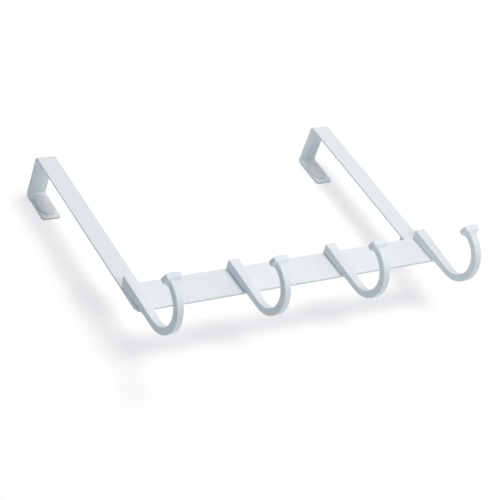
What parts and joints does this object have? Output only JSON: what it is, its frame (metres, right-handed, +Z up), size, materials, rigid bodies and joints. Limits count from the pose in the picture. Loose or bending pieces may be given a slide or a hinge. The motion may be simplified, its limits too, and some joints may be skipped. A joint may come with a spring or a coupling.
{
  "type": "over door hook rack",
  "caption": "White painted metal rack that hangs over a door: bent straps with padded return lips carry a flat bar with cast J hooks that end in flared heads.",
  "frame": {"origin": "middle of the rack, on the door's front face at the door's top edge", "axes": "+X along the cross bar, +Y from the hooks into the door, +Z up"},
  "size_m": [0.355, 0.1158, 0.2751],
  "materials": {
    "white_paint": "smooth satin white powder coat",
    "soft_pad": "matt translucent grey vinyl",
    "zinc": "bright zinc plated"
  },
  "bodies": {
    "root": {"cross_bar": "white_paint", "end_hook_screws": "zinc", "middle_hook_screws": "zinc", "left_strap": "white_paint", "left_lip_pad": "soft_pad", "left_foot_pad": "soft_pad", "right_strap": "white_paint", "right_lip_pad": "soft_pad", "right_foot_pad": "soft_pad", "hook_1": "white_paint", "hook_2": "white_paint", "hook_3": "white_paint", "hook_4": "white_paint"}
  },
  "joints": []
}
